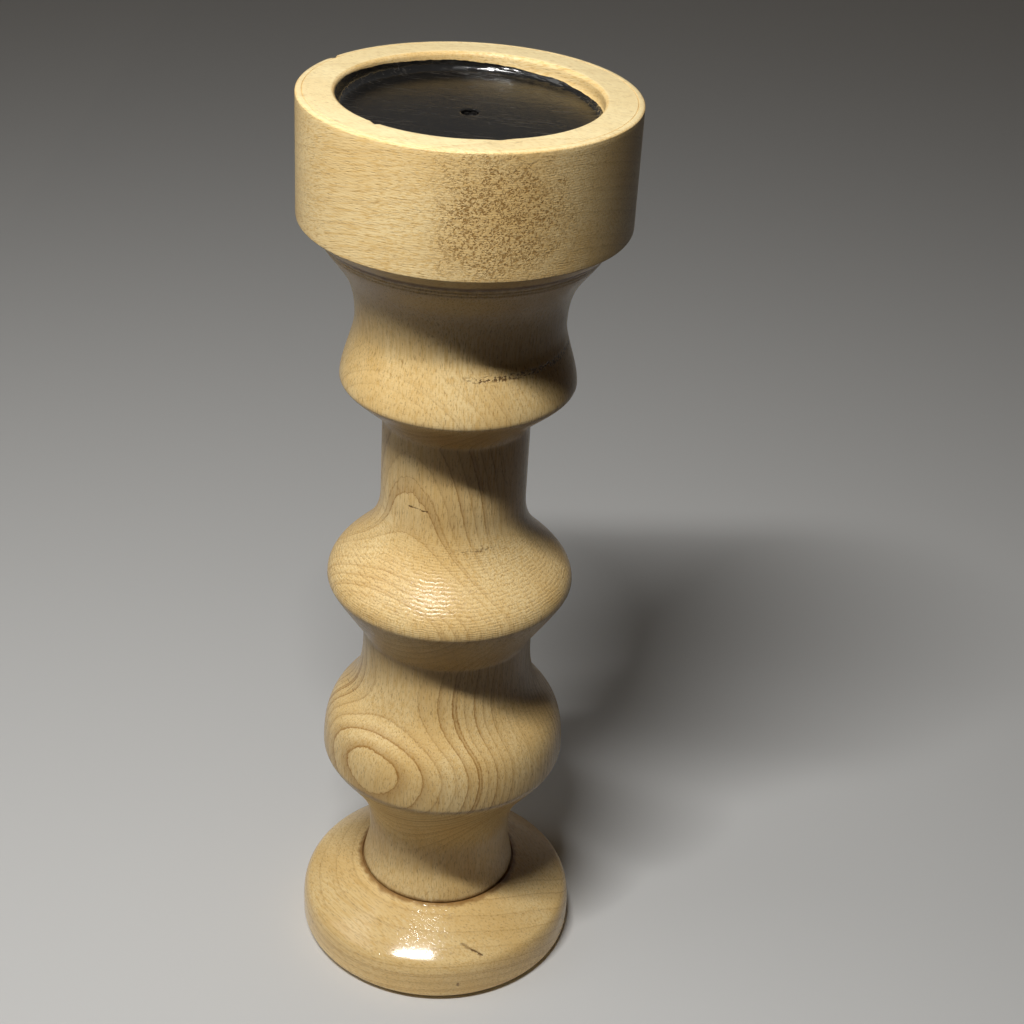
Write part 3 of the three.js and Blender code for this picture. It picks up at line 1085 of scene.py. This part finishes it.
# pale floor, a soft key lamp, a weak fill from the left and a sky that is brighter low down behind
studio = {
    "floorSize": 5.0,
    "floorColour": (0.6, 0.6, 0.59, 1.0),
    "floorCloud": (0.591, 0.591, 0.58115, 1.0),  # a shade darker, in faint clouds
    "bounceColour": (0.045, 0.032, 0.02, 1.0),
    "bounceClose": (0.8, 0.79, 0.76, 1.0),
    "bounceNear": 0.07,
    "bounceFar": 0.1,
    "aim": (0.0, 0.0, 0.15),
    "lampColour": (1.0, 0.99, 0.975),
    # azimuth 0 is the camera's side and minus is to its left
    "key": {"azimuth": -26.5, "height": 61.4, "away": 0.7, "wide": 0.28, "tall": 0.035, "power": 5.35},
    "fill": {"azimuth": -80.0, "height": 36.0, "away": 0.9, "wide": 0.5, "tall": 0.5, "power": 1.2},
    "skyFront": (0.008, 0.005, 0.003, 1.0),
    "skyBehind": (1.6, 1.42, 1.15, 1.0),
    "skySeen": (0.12, 0.12, 0.12, 1.0),
}


def addLamp(name, look, aim, colour):
    data = bpy.data.lights.new(name, "AREA")
    data.shape = "RECTANGLE"
    data.size = look["wide"]
    data.size_y = look["tall"]
    data.energy = look["power"]
    data.color = colour
    lamp = bpy.data.objects.new(name, data)
    scene.collection.objects.link(lamp)
    azimuth, height = math.radians(look["azimuth"]), math.radians(look["height"])
    towards = Vector(
        (math.sin(azimuth) * math.cos(height), -math.cos(azimuth) * math.cos(height), math.sin(height))
    )
    lamp.location = Vector(aim) + towards * look["away"]
    side = Vector((1.0, 0.0, 0.0))
    side = (side - towards * side.dot(towards)).normalized()
    lamp.rotation_mode = "QUATERNION"
    lamp.rotation_quaternion = Matrix((side, towards.cross(side), towards)).transposed().to_quaternion()


# rays that should see the plain background and not the light that it gives
def seenRays(tree):
    rays = tree.nodes.new("ShaderNodeLightPath")
    seen = mathNode(tree, "MAXIMUM", rays.outputs["Is Camera Ray"], rays.outputs["Is Glossy Ray"])
    return mathNode(tree, "MAXIMUM", seen, rays.outputs["Is Transmission Ray"])


def floorMaterial(look):
    material, tree, shader = newMaterial("paleFloor")
    coordinates = tree.nodes.new("ShaderNodeTexCoord")
    cloud = noiseNode(tree, coordinates.outputs["Object"], 3.0, 3.0)
    pale = mixNode(tree, cloud, look["floorColour"], look["floorCloud"])
    away = vectorNode(tree, "LENGTH", coordinates.outputs["Object"])
    close = spanNode(tree, away, look["bounceFar"], look["bounceNear"])
    bounce = mixNode(tree, close, look["bounceColour"], look["bounceClose"])
    tree.links.new(mixNode(tree, seenRays(tree), bounce, pale), shader.inputs["Base Color"])
    shader.inputs["Roughness"].default_value = 0.75
    return material


def makeStudio(look):
    bm = bmesh.new()
    bmesh.ops.create_grid(bm, x_segments=1, y_segments=1, size=look["floorSize"])
    mesh = bpy.data.meshes.new("floor")
    bm.to_mesh(mesh)
    bm.free()
    mesh.materials.append(floorMaterial(look))
    floor = bpy.data.objects.new("floor", mesh)
    scene.collection.objects.link(floor)
    for name in ("key", "fill"):
        addLamp(name + "Lamp", look[name], look["aim"], look["lampColour"])
    world = bpy.data.worlds.new("sky")
    world.use_nodes = True
    scene.world = world
    tree = world.node_tree
    _, back, up = partsNode(tree, tree.nodes.new("ShaderNodeTexCoord").outputs["Generated"])
    low = spanNode(tree, up, 0.35, 0.12)
    behind = mathNode(tree, "MULTIPLY", spanNode(tree, back, 0.7, 0.95), low)
    light = mixNode(tree, behind, look["skyFront"], look["skyBehind"])
    sky = mixNode(tree, seenRays(tree), light, look["skySeen"])
    tree.links.new(sky, tree.nodes["Background"].inputs["Color"])


makeStudio(studio)
print("studio lit")
